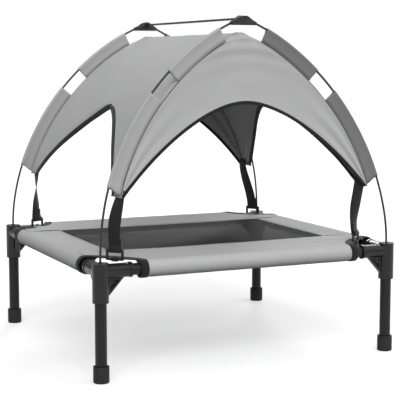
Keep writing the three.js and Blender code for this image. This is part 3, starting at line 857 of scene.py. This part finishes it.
def crown_wrinkles(x, z, from_seam):
    """Height of the wrinkles that hang in bows under the crown of a front or back panel."""
    drop = 0.606 - z - 2.3 * x * x
    ripple = np.sin(2 * math.pi * drop / (15 * MM + 0.12 * drop) - 1.4 + 6 * x)
    return 1.7 * MM * ripple * np.exp(-drop / (42 * MM) - (x / 0.115) ** 2) * smooth(from_seam / (7 * MM))


def panel_half(sx, sy):
    """Half of a front or back panel: rows from crown to foot, columns from seam to entry."""
    share = np.linspace(0, 1, PANEL_COLUMNS + 1)[:, None]
    front_view = SEAM[:, None] * (1 - share) + ENTRY[:, None] * share
    flat = on_arch(front_view, sx, sy)
    from_seam = np.linalg.norm(front_view - SEAM[:, None], axis=-1)
    width = from_seam[:, -1:]
    across = from_seam / width
    edge_fade = smooth((width - from_seam) / (12 * MM)) * smooth(from_seam / (8 * MM))
    billow = 8.8 * MM * across * (1 - across) * (1 - DOWN)
    folds = np.sin(4.4 * math.pi * across + 3 * DOWN)
    drawn = FOLD_DEPTH[sx, sy] * MM * smooth((DOWN - 0.3) * 2.2) * folds
    rumple = 1.0 * MM * noise_at(flat, (1, 1, 1), 20, 3)
    lift = (drawn + rumple) * edge_fade - billow
    crown = crown_wrinkles(flat[..., 0], flat[..., 2], from_seam) * edge_fade
    normal = arch_out(sy)
    return flat + normal * lift[..., None], flat, normal * crown[..., None]


def rolled_over(grid):
    """Rounds the cloth where it rolls over the seam, most of all between the upper sleeves."""
    loose = 1 - smooth((SEAM_LENGTH - 14 * MM) / (26 * MM))
    columns = np.abs(np.arange(grid.shape[1]) - ROOF_COLUMNS)
    near = smooth((9 - columns) / 5)
    weight = (0.02 + 0.48 * loose[:, None]) * near
    for _ in range(14):
        mean = (grid[:, :-2] + grid[:, 2:]) / 2
        grid[:, 1:-1] += (mean - grid[:, 1:-1]) * weight[:, 1:-1, None]
    grid[..., 2] += 1.6 * MM * loose[:, None] * near
    return grid


def quarter_of_canopy(sx, sy):
    """Roof and panel of one corner side by side in one grid, as hung and as drawn flat."""
    roof, flat_roof = roof_quarter(sx, sy)
    panel, flat_panel, wrinkles = panel_half(sx, sy)
    grid = rolled_over(np.concatenate([roof[:, ::-1], panel[:, 1:]], axis=1))
    grid[:, ROOF_COLUMNS:] += wrinkles
    return grid, np.concatenate([flat_roof[:, ::-1], flat_panel[:, 1:]], axis=1)


def area_of(grid):
    right = grid[:-1, 1:] - grid[:-1, :-1]
    down = grid[1:, :-1] - grid[:-1, :-1]
    return float(np.linalg.norm(np.cross(right, down), axis=-1).sum())


def canopy_cloth():
    """One sheet of cloth: roof, front and back, joined along their seams."""
    points, faces, uv = [], [], []
    flat_area = 0
    quarters = {}
    for tag, (sx, sy) in CORNERS.items():
        grid, flat = quarter_of_canopy(sx, sy)
        quarters[tag] = grid
        flat_area += area_of(flat)
        start = len(points)
        faces += [tuple(start + k for k in face) for face in grid_faces(*grid.shape[:2])]
        points += list(grid.reshape(-1, 3))
        uv += list(grid_uv(flat))
    made = add("canopy_cloth", points, faces, "canopy", uv)
    mend(made.data, weld=0.05 * MM, sliver=0.01 * MM)
    made.data.shade_smooth()
    thicken(made, CLOTH_THICK, 0.0)
    mount(made, "canopy", "canopy_cloth", "canopy_roof", "canopy_front_panel", "canopy_back_panel")
    return made, quarters, flat_area


def binding(name, edge, inward, normal, width, thickness, lip=0.0):
    """Folded tape over an edge of cloth: the edge's points, the way into the cloth, its normal."""
    t = thickness / 2
    rows = []
    for wide in np.broadcast_to(width, len(edge)):
        front = [(-lip - t, -t * 0.5), (-lip, -t), (wide - t, -t), (wide, -t * 0.35)]
        rows.append(front + [(a, -b) for a, b in reversed(front)])
    points, faces, uv = sweep(edge, inward, normal, np.array(rows))
    made = add(name, points, faces, "tape", uv)
    mend(made.data)
    return made


def edge_binding(side, line, neighbour, width, lip):
    """Tape over an entry's edge; neighbour holds points of the cloth beside the edge's own."""
    along = tangents(line)
    inward = square_to(neighbour - line, along)
    normal = unit(np.cross(along, inward))
    made = binding(f"canopy_binding_{side}", line, inward, normal, width, 2.2 * MM, lip)
    return mount(made, "canopy", "edge_tape", f"canopy_{side}_trim")


def both_quarters(quarters, first, second, column, top=0):
    """A column of two quarters that meet in their top row, as one line from foot to foot."""
    return np.vstack([quarters[first][top:][::-1, column], quarters[second][top:][1:, column]])


def canopy_trims(quarters):
    made = []
    for side, left, right in (("front", "fl", "fr"), ("back", "bl", "br")):
        line = both_quarters(quarters, left, right, -1)
        neighbour = both_quarters(quarters, left, right, -1 - NEIGHBOUR)
        made.append(edge_binding(side, line, neighbour, 4.6 * MM, 0.4 * MM))
    apex = ABOVE - 1
    for side, front, back in (("left", "fl", "bl"), ("right", "fr", "br")):
        line = both_quarters(quarters, front, back, 0, apex)
        neighbour = both_quarters(quarters, front, back, NEIGHBOUR, apex)
        neighbour[len(line) // 2] = quarters[front][apex - NEIGHBOUR, 0]
        made.append(edge_binding(side, line, neighbour, 5.0 * MM, 4.4 * MM))
    return made


def sleeve_section():
    """Section of a sleeve, (inwards, outwards) from its pole: two layers and a loop between them."""
    loop = [(-SLEEVE_LOOP_R * math.cos(a), SLEEVE_LOOP_R * math.sin(a)) for a in np.linspace(-2.1, 2.1, 11)]
    tail = [(10 * MM, 0.9 * MM), (17 * MM, 0.7 * MM), (CLOTH_IN + SLEEVE_TAIL, 0.5 * MM)]
    return np.array([(d, -h) for d, h in reversed(tail)] + loop + tail).T


def pole_sleeve(tag, level, sx, sy):
    """Cloth folded round a pole, both layers sewn together at the seam."""
    start, end, rows = SLEEVES[level]
    t = np.linspace(start, end, rows)
    heading = bezier_heading(HALF_ARCH, t)
    ahead, rise = heading.T
    inward = unit(np.stack([sx * rise, sy * math.tan(LEAN) * ahead, -ahead], axis=-1))
    path = on_arch(bezier(HALF_ARCH, t), sx, sy)
    run = run_lengths(path)
    from_foot = run[-1] - run if level == "lower" else run[-1]
    pucker = 1.3 * MM * smooth((34 * MM - from_foot) / (30 * MM)) * np.sin(run / (3.4 * MM))
    wave = 0.35 * MM * np.sin(run / (23 * MM) + 2 * sx) + pucker
    slant = 8 * MM * smooth(1 - from_foot / (26 * MM)) * np.ones(rows)
    inwards, outwards = sleeve_section()
    share = smooth(inwards / CLOTH_IN)
    lift = outwards + wave[:, None] * share * (1.3 - share)
    slide = tangents(path)[:, None] * (slant[:, None] * share)[..., None]
    grid = path[:, None] + slide + inward[:, None] * inwards[:, None] + arch_out(sy) * lift[..., None]
    # left sleeves take the lightly shaded copy of the canopy cloth, right sleeves the deeply shaded one:
    # painted shade
    made = add_grid(f"sleeve_{tag}_{level}", grid, "sleeve_light_painted_shade" if sx < 0 else "sleeve_deep_painted_shade")
    mend(made.data)
    thicken(made, SLEEVE_THICK, 0.0)
    mount(made, "canopy", "canopy_cloth", f"pole_sleeve_{tag}_{level}")


# ---- mat


def wrap_profile():
    """Side view of a mat edge, from the crown of its rail round underneath: (outward, height)."""
    turns = np.radians(np.linspace(0, 262, 30))
    round_rail = np.stack([SLEEVE_R * np.sin(turns), SLEEVE_R * np.cos(turns) - SLEEVE_R], axis=-1)
    hem = np.array([(-17.5 * MM, -8 * MM), (-22 * MM, -3.4 * MM), (-30 * MM, -2.2 * MM)])
    return np.vstack([round_rail, hem])


def corner_cut(angle, extra=0.0):
    """Distance of the corner cut from the leg axis, at an angle from one rail to the other."""
    return CUT_R + extra - CUT_FLAT * np.sin(2 * angle)


def cut_strip(away):
    """Half length of a front or back strip, at distances in from its rail, between its corner cuts."""
    angle = np.linspace(0, math.pi / 2, 60)
    radius = corner_cut(angle, 2 * MM)
    cut = np.interp(away, radius * np.sin(angle), radius * np.cos(angle), right=0)
    return np.minimum(LEG_X - 0.3 * MM, LEG_X - cut)


def crease(grid):
    """A fold line of the front strip, from beside the mesh to the corner cut."""
    start, end = np.array([0.150, -0.166]), np.array([0.242, -0.213])
    length = np.linalg.norm(end - start)
    along = (end - start) / length
    away = grid[..., :2] - start
    run = away @ along
    off = away @ np.array([-along[1], along[0]])
    fade = smooth(run / (25 * MM)) * smooth((length + 10 * MM - run) / (20 * MM))
    groove = 1.3 * MM * np.exp(-(off / (3.2 * MM)) ** 2)
    ridge = 0.6 * MM * np.exp(-((off - 7 * MM) / (5 * MM)) ** 2)
    return fade * (ridge - groove)


def mat_side(side, spin, rail_out, edge, sleeve_half, cut_away):
    """One side of the mat lying along X with its rail at Y = -rail_out, then turned into place."""
    flat_y = np.linspace(edge, rail_out, 34)
    strip = cut_strip(rail_out - flat_y) if cut_away else np.full(len(flat_y), MESH_Y)
    wrap = wrap_profile()[1:]
    outward = np.concatenate([flat_y, rail_out + wrap[:, 0]])[:, None]
    height = np.concatenate([np.zeros(len(flat_y)), wrap[:, 1]])[:, None]
    half = np.concatenate([strip, np.full(len(wrap), sleeve_half)])[:, None]
    sides = np.broadcast_arrays(np.linspace(-1, 1, 121) * half, -outward, height + MAT_TOP)
    grid = np.stack(sides, axis=-1)
    on_top = (np.arange(len(outward)) < len(flat_y))[:, None]
    inboard = smooth((rail_out - outward) / (50 * MM))
    sag = 1.6 * MM * inboard * (1 - (grid[..., 0] / rail_out) ** 2)
    drawn = 0.5 * MM * noise_at(grid, (0.6, 1.6, 1), 22, 11 + spin) * on_top
    wrap_wave = 0.35 * MM * noise_at(grid, (1, 0.2, 0.2), 30, 5 + spin) * ~on_top
    grid[..., 2] += drawn + wrap_wave - sag
    if side == "front":
        grid[..., 2] += crease(grid)
    return grid @ np.array(Matrix.Rotation(math.radians(spin), 3, "Z")).T


def mat_panels():
    tape_end = CUT_R + 2 * MM
    plan = [
        ("front", 0, LEG_Y, MESH_Y, LEG_X - tape_end, True),
        ("back", 180, LEG_Y, MESH_Y, LEG_X - tape_end, True),
        ("left", 270, LEG_X, MESH_X, LEG_Y - tape_end, False),
        ("right", 90, LEG_X, MESH_X, LEG_Y - tape_end, False),
    ]
    for side, spin, rail_out, edge, sleeve_half, cut_away in plan:
        grid = mat_side(side, spin, rail_out, edge, sleeve_half, cut_away)
        made = add_grid(f"mat_{side}", grid, "mat")
        mend(made.data)
        thicken(made, MAT_THICK)
        mount(made, "root", "mat_cloth", f"mat_{side}_panel")


def mat_middle():
    x, y = np.meshgrid(np.linspace(-MESH_X, MESH_X, 91), np.linspace(-MESH_Y, MESH_Y, 61))
    dip = (1 - (x / MESH_X) ** 2) * (1 - (y / MESH_Y) ** 2)
    z = MAT_TOP - 1.2 * MM - 1.6 * MM * (1 - (x / LEG_Y) ** 2) - 3.0 * MM * dip
    made = add_grid("mat_mesh_middle", np.stack([x, y, z], axis=-1), "mesh")
    thicken(made, MESH_THICK)
    mount(made, "root", "mat_mesh", "mat_mesh")


def corner_tape(tag, sx, sy):
    """Dark tape round both sleeve ends and along the round cut between them."""
    wrap = np.radians(np.linspace(250, 0, 26))
    rows = []                     # place, way into the cloth, normal and width, row by row
    for a in wrap:                # round the sleeve on the X rail, ending on its crown
        out = (0, -math.sin(a), math.cos(a))
        rows.append(((CUT_R, SLEEVE_R * out[1], SLEEVE_R * out[2]), (1, 0, 0), out, TAPE_WIDTH))
    for a in np.radians(np.linspace(0, 90, 20))[1:-1]:
        into = np.array([math.cos(a), math.sin(a), 0])
        half_way = math.sin(2 * a)
        place = into * corner_cut(a) + np.array([0, 0, SLEEVE_R - TAPE_DROOP * half_way])
        rows.append((place, into, (0, 0, 1), TAPE_WIDTH + TAPE_WIDER * half_way))
    for a in reversed(wrap):      # round the sleeve on the Y rail
        out = (-math.sin(a), 0, math.cos(a))
        rows.append(((SLEEVE_R * out[0], CUT_R, SLEEVE_R * out[2]), (0, 1, 0), out, TAPE_WIDTH))
    line, inward, normal, width = (np.array(part, float) for part in zip(*rows))
    mirror = np.array([-sx, -sy, 1])
    line = (line - normal * 0.3 * MM) * mirror + np.array([sx * LEG_X, sy * LEG_Y, RAIL_Z])
    made = binding(f"corner_tape_{tag}", line, inward * mirror, normal * mirror, width, 2.6 * MM)
    mount(made, "root", "edge_tape", f"mat_corner_tape_{tag}")


# ---- buckles, loops and straps

# plan angle of a strap's width, in degrees, at shares of its height, chosen corner by corner
STRAP_TURNS = {
    "fl": [(0, -45), (0.55, -48), (0.8, -66), (1, -84)],
    "fr": [(0, 39), (0.22, 26), (0.5, 5), (1, 2)],
    "bl": [(0, 30), (0.3, 42), (0.5, 64), (0.75, 88), (1, 99)],
    "br": [(0, 122), (0.6, 112), (1, 95)],
}
# tops of the straps, tucked behind the feet of the canopy cloth, as distances from the middle
STRAP_TOPS = {
    "fl": (0.2445, 0.2560, 0.334),
    "fr": (0.2400, 0.2545, 0.338),
    "bl": (0.2430, 0.2520, 0.336),
    "br": (0.2430, 0.2530, 0.334),
}
# how far the straps bow out half way up, against X and Y, in mm
STRAP_BOWS = {"fl": (6, -2), "fr": (3, -1), "bl": (0, 0), "br": (0, 0)}
# how far the buckles hang from their places in the CAD frame, in mm
BUCKLE_SHIFT = {"fl": (3, -0.5), "fr": (-7.5, 1), "bl": (3.5, -3), "br": (8, 1)}


def buckle_at(tag):
    sx, sy = CORNERS[tag]
    dx, dy = BUCKLE_SHIFT[tag]
    return np.array([sx * BUCKLE.x + dx * MM, -sy * BUCKLE.y + dy * MM, 0.0])


def buckles():
    """A flat rectangular ring, its width along X, then a turned copy at each corner."""
    outer = oblong(BUCKLE_WIDTH / 2, BUCKLE_LOW, BUCKLE_HIGH, 2.2 * MM, 5)
    inside = BUCKLE_WIDTH / 2 - BUCKLE_BAR
    window = oblong(inside, BUCKLE_LOW + BUCKLE_BAR, BUCKLE_HIGH - BUCKLE_BAR, 1.0 * MM, 4)
    solids, holes = [prism(outer, BUCKLE_THICK)], [prism(window, 3 * BUCKLE_THICK)]
    pattern = forge("buckle_pattern", solids, holes, "small", 0.9 * MM)
    for tag in CORNERS:
        place = Matrix.Translation(buckle_at(tag)) @ turned_by(STRAP_TURNS[tag][0][1])
        mount(copy_of(pattern, f"ring_buckle_{tag}", place), "root", "buckle_plastic", f"buckle_{tag}")
    bpy.data.objects.remove(pattern)


def ribbon(name, path, across, width, thickness):
    """Flat webbing along a path, its width lying along across."""
    path = np.asarray(path, float)
    along = tangents(path)
    across = square_to(np.asarray(across, float), along)
    face = unit(np.cross(along, across))
    points, faces, uv = sweep(path, across, face, rounded_flat(width, thickness))
    made = add(name, points, faces, "webbing", uv)
    mend(made.data)
    return made


def up(z):
    return np.array([0, 0, z])


def plan_direction(degrees):
    return np.array([math.cos(math.radians(degrees)), math.sin(math.radians(degrees)), 0.0])


def strap_path(tag, bar, bar_r, top):
    """Middle line of a strap from its sewn end, round the buckle's bar and up, with its width's way."""
    shares, angles = zip(*STRAP_TURNS[tag])
    across0 = plan_direction(angles[0])
    face = np.cross(across0, (0, 0, 1))
    path = []
    for z in np.linspace(21 * MM, 1 * MM, 12):      # doubled end behind the strap
        offset = FOLD_GAP - bar_r + (2 * bar_r - FOLD_GAP) * smooth(1 - z / (11 * MM))
        path.append(bar + face * offset + up(z))
    for a in np.linspace(0, math.pi, 10):
        path.append(bar + face * bar_r * math.cos(a) - up(bar_r * math.sin(a)))
    across = [across0] * len(path)
    start = bar - face * bar_r
    bow = np.array([*STRAP_BOWS[tag], 0]) * MM
    for s in np.linspace(0, 1, 40)[1:]:
        lean = smooth(s)
        path.append(start + (top - start) * np.array([lean, lean, s]) - bow * math.sin(math.pi * s))
        across.append(plan_direction(np.interp(s, shares, angles)))
    across = np.array(across)
    for _ in range(3):            # evens the change of angle between the chosen shares
        across[1:-1] = unit(across[:-2] + across[1:-1] * 2 + across[2:])
    return np.array(path), across


def strap(tag):
    """Webbing from a canopy corner, round the upper bar of its buckle and sewn back on itself."""
    bar = buckle_at(tag) + up(BUCKLE_HIGH - BUCKLE_BAR / 2)
    bar_r = math.hypot(BUCKLE_BAR, BUCKLE_THICK) / 2 + STRAP_THICK / 2
    top = np.array(STRAP_TOPS[tag]) * np.array([*CORNERS[tag], 1])
    path, across = strap_path(tag, bar, bar_r, top)
    made = ribbon(f"strap_webbing_{tag}", path, across, STRAP_WIDTH, STRAP_THICK)
    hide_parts(f"strap_{tag}")
    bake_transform(made)


def strap_loop(tag):
    """A short loop of webbing from under the corner tape round the lower bar of the buckle."""
    sx, sy = CORNERS[tag]
    into = unit(np.array([-sx, -sy, 0.0]))
    bar = buckle_at(tag) + up(BUCKLE_LOW + BUCKLE_BAR / 2)
    bar_r = 3.6 * MM
    sewn_at = CUT_R - CUT_FLAT + 7 * MM
    away = sewn_at - math.hypot(sx * LEG_X - bar[0], sy * LEG_Y - bar[1])
    shares = np.linspace(0, 1, 8)
    path = [bar + into * away * (1 - s) - up(1.5 * MM * (1 - s) + bar_r * s) for s in shares[:-1]]
    for a in np.linspace(-math.pi / 2, -1.5 * math.pi, 12):
        path.append(bar + into * bar_r * math.cos(a) + up(bar_r * math.sin(a)))
    path += [bar + into * away * s + up(bar_r * (1 - s) + 0.4 * MM * s) for s in shares[1:]]
    across = [(-into[1], into[0], 0.0)] * len(path)
    made = ribbon(f"buckle_loop_{tag}", path, across, LOOP_WIDTH, LOOP_THICK)
    mount(made, "root", "webbing", f"mat_strap_loop_{tag}")


# ---- stitching


def stitches(name, path, normal, body, slot):
    """A row of short thread stitches lying on a surface."""
    pitch, length, radius = 3.4 * MM, 2.3 * MM, 0.28 * MM
    path = np.asarray(path, float)
    normal = np.broadcast_to(np.asarray(normal, float), path.shape)
    run = run_lengths(path)
    points, faces = [], []
    for k in range(max(int(run[-1] / pitch), 1)):
        ends = (k + 0.5) * pitch + np.array([-length / 2, -length / 4, length / 4, length / 2])
        spots = at_runs(ends, run, path)
        out = unit(at_runs(ends, run, normal))
        side = unit(np.cross(spots[-1] - spots[0], out[0]))
        base = len(points)
        for spot, rise, share in zip(spots, out, (0.25, 1, 1, 0.25)):
            for c, s in ((-1, 0), (0, 1), (1, 0), (0, -1)):
                points.append(spot + side * c * radius * share + rise * (s * radius * share))
        faces += [tuple(base + n for n in face) for face in grid_faces(4, 4, closed=True)]
        faces += [tuple(base + n for n in face) for face in ((3, 2, 1, 0), (12, 13, 14, 15))]
    made = add(name, points, faces, "thread")
    mend(made.data)
    mount(made, body, slot)


def canopy_stitching_and_seam_shade(quarters):
    """Stitch lines beside the front and back seams, and a dark cord along each seam below its crown that
    paints shade into the seam's groove.
    """
    for side, left, right in (("front", "fl", "fr"), ("back", "bl", "br")):
        out = arch_out(CORNERS[left][1])
        line = both_quarters(quarters, left, right, ROOF_COLUMNS + 1)
        stitches(f"seam_stitches_{side}", line + out * 0.4 * MM, out, "canopy", "canopy_cloth")
    # each dark cord is painted shade along the seam, not a real cord
    for tag, radius in SEAM_SHADE_CORD_R.items():
        below_crown = quarters[tag][int(np.searchsorted(SEAM[:, 0], 0.036)):-1]
        seam = below_crown[:, ROOF_COLUMNS]
        into = unit(below_crown[:, ROOF_COLUMNS + 2] - seam)
        line = seam + into * 1.0 * MM + arch_out(CORNERS[tag][1]) * 0.7 * MM
        mount(rod(f"seam_shade_cord_{tag}", line, radius * MM, "dark_thread_and_seam_shade", 8), "canopy", "edge_tape")


def mat_stitching():
    """Double stitching round the mesh and a seam from each of its corners to the side rails."""
    for tag, (sx, sy) in CORNERS.items():
        path = [(sx * x, sy * MESH_Y, MAT_TOP - 0.2 * MM) for x in np.linspace(MESH_X, LEG_X - 9 * MM, 12)]
        mount(rod(f"mat_seam_{tag}", path, 0.45 * MM, "dark_thread_and_seam_shade", 8), "root", "edge_tape")
    for k, inset in enumerate((3 * MM, 6.5 * MM)):
        x, y = MESH_X + inset, MESH_Y + inset
        for side, start, end in (
            ("front", (-x, -y), (x, -y)), ("back", (-x, y), (x, y)),
            ("left", (-x, -y), (-x, y)), ("right", (x, -y), (x, y)),
        ):
            line = np.linspace((*start, MAT_TOP - 1.2 * MM), (*end, MAT_TOP - 1.2 * MM), 60)
            stitches(f"mat_stitches_{side}_{k}", line, (0, 0, 1), "root", "mat_cloth")


# ---- camera, light and floor

CAMERA_LENS = 109.54              # mm, on a sensor 36 mm wide
CAMERA_AT = (-0.99278, -2.22405, 0.55763)
CAMERA_DOWN = 6.554               # degrees
CAMERA_TURN = -24.525             # degrees from looking straight at the front
FLOOR_HALF = 9.0


def camera():
    data = bpy.data.cameras.new("camera")
    data.lens = CAMERA_LENS
    data.sensor_width = 36
    made = new_object("camera", data)
    made.location = CAMERA_AT
    made.rotation_euler = (math.radians(90 - CAMERA_DOWN), 0, math.radians(CAMERA_TURN))
    bpy.context.scene.camera = made


def sun(name, strength, spread, azimuth, elevation):
    """A soft distant light; azimuth 0 shines from the front and 90 from the right."""
    data = bpy.data.lights.new(name, "SUN")
    data.energy = strength
    data.angle = math.radians(spread)
    made = new_object(name, data)
    a, e = math.radians(azimuth), math.radians(elevation)
    source = Vector((math.sin(a) * math.cos(e), -math.cos(a) * math.cos(e), math.sin(e)))
    made.rotation_mode = "QUATERNION"
    made.rotation_quaternion = source.to_track_quat("Z", "Y")


def studio():
    """Three suns and a softbox sky that the camera sees as plain white."""
    sun("key", 2.1, 45, -22, 34)
    sun("fill", 1.0, 70, 64, 32)
    sun("rim", 0.8, 12, 152, 30)
    world = bpy.data.worlds.new("studio")
    world.use_nodes = True
    bpy.context.scene.world = world
    tree = world.node_tree
    tree.nodes.clear()
    direction = wire(tree, "ShaderNodeTexCoord").outputs["Generated"]
    height = wire(tree, "ShaderNodeSeparateXYZ", {0: direction}).outputs["Z"]
    range_of_light = {"Value": height, "From Min": -0.35, "From Max": 0.5, "To Min": 0.07, "To Max": 0.50}
    softbox = wire(tree, "ShaderNodeMapRange", range_of_light).outputs["Result"]
    light = wire(tree, "ShaderNodeBackground", {"Color": (0.985, 0.99, 1, 1), "Strength": softbox})
    seen = wire(tree, "ShaderNodeBackground", {"Color": (1, 1, 1, 1)})
    kind = wire(tree, "ShaderNodeLightPath").outputs["Is Camera Ray"]
    mixed = wire(tree, "ShaderNodeMixShader", {0: kind, 1: light.outputs[0], 2: seen.outputs[0]})
    wire(tree, "ShaderNodeOutputWorld", {0: mixed.outputs[0]})
    bpy.context.scene.view_settings.view_transform = "Standard"


def floor():
    plan = [(-1, -1, 0), (1, -1, 0), (1, 1, 0), (-1, 1, 0)]
    made = add("studio_floor", np.array(plan) * FLOOR_HALF, [(0, 1, 2, 3)], "floor")
    made.visible_diffuse = False


# ---- build

camera()
studio()
floor()
for corner, (side_x, side_y) in CORNERS.items():
    foot_cap(corner, side_x * LEG_X, side_y * LEG_Y)
    leg(corner, side_x * LEG_X, side_y * LEG_Y)
    pole(corner, side_x, side_y)
    for sleeve_level in SLEEVES:
        pole_sleeve(corner, sleeve_level, side_x, side_y)
    corner_tape(corner, side_x, side_y)
    strap_loop(corner)
for rail_side in ("front", "back", "left", "right"):
    rail(rail_side)
corner_fittings()
buckles()
hub("front", -1)
hub("back", 1)
ridge_rod()
mat_panels()
mat_middle()
mat_stitching()
cloth, cloth_quarters, cloth_area = canopy_cloth()
bindings = canopy_trims(cloth_quarters)
canopy_stitching_and_seam_shade(cloth_quarters)
for corner in CORNERS:
    strap(corner)
